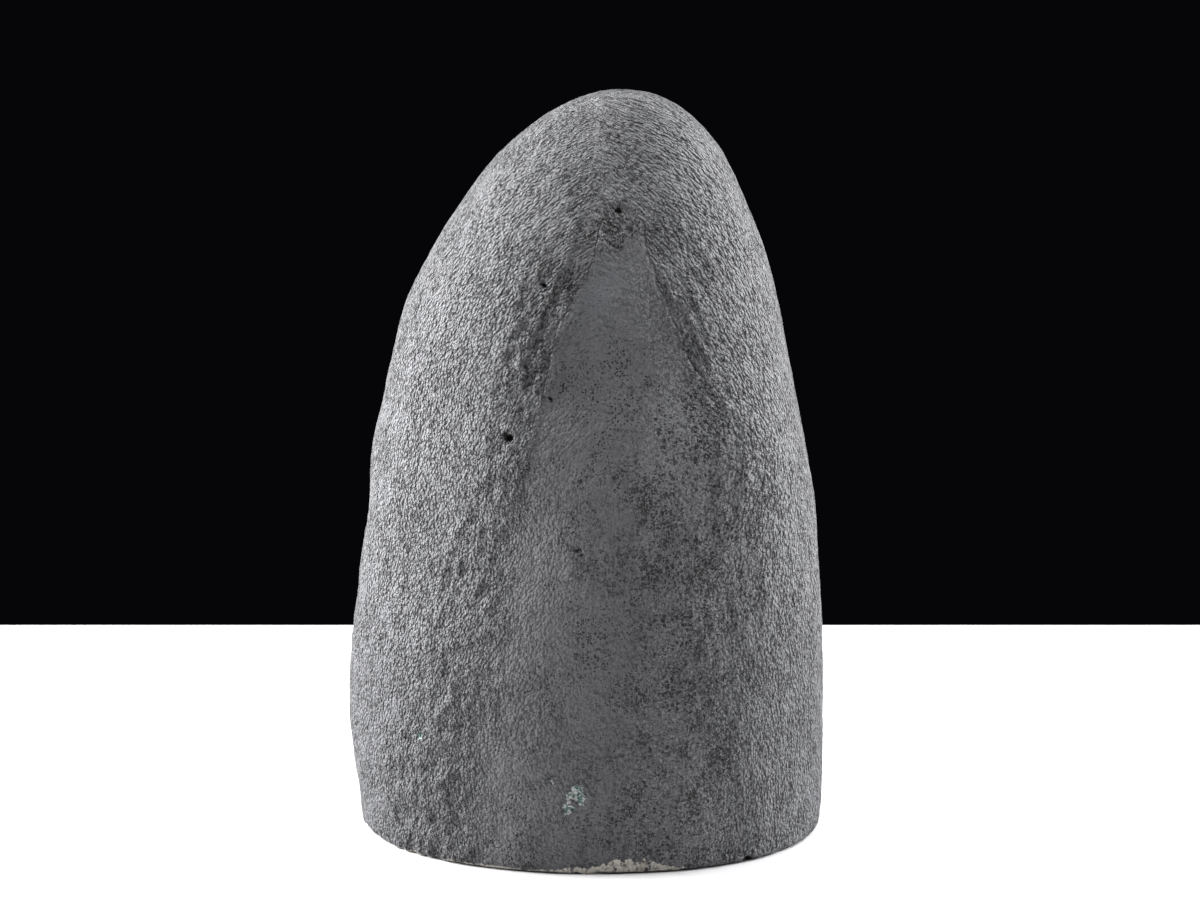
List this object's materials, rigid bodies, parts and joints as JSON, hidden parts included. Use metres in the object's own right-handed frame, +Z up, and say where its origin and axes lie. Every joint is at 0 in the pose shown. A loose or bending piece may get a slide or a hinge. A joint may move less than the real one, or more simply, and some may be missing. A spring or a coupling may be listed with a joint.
{
  "type": "amethyst geode",
  "caption": "Cut-base geode: a bullet-shaped nodule with a rough grey coated back, and a flat sawn front that opens on a hollow lined with amethyst points.",
  "frame": {"origin": "middle of the sawn foot, on the surface that it rests on", "axes": "+Z up towards the dome, -Y out of the sawn front and its hollow, +Y out of the coated back, +X to the left of a viewer who faces the coated back"},
  "size_m": [0.1164, 0.0664, 0.1793],
  "materials": {
    "painted_coat": "rough brushed coat of grey cement and paint, matt",
    "amethyst": "glossy violet crystal on a pale quartz band"
  },
  "bodies": {
    "root": {"geode_shell": "painted_coat", "amethyst_crust": "amethyst"}
  },
  "joints": []
}
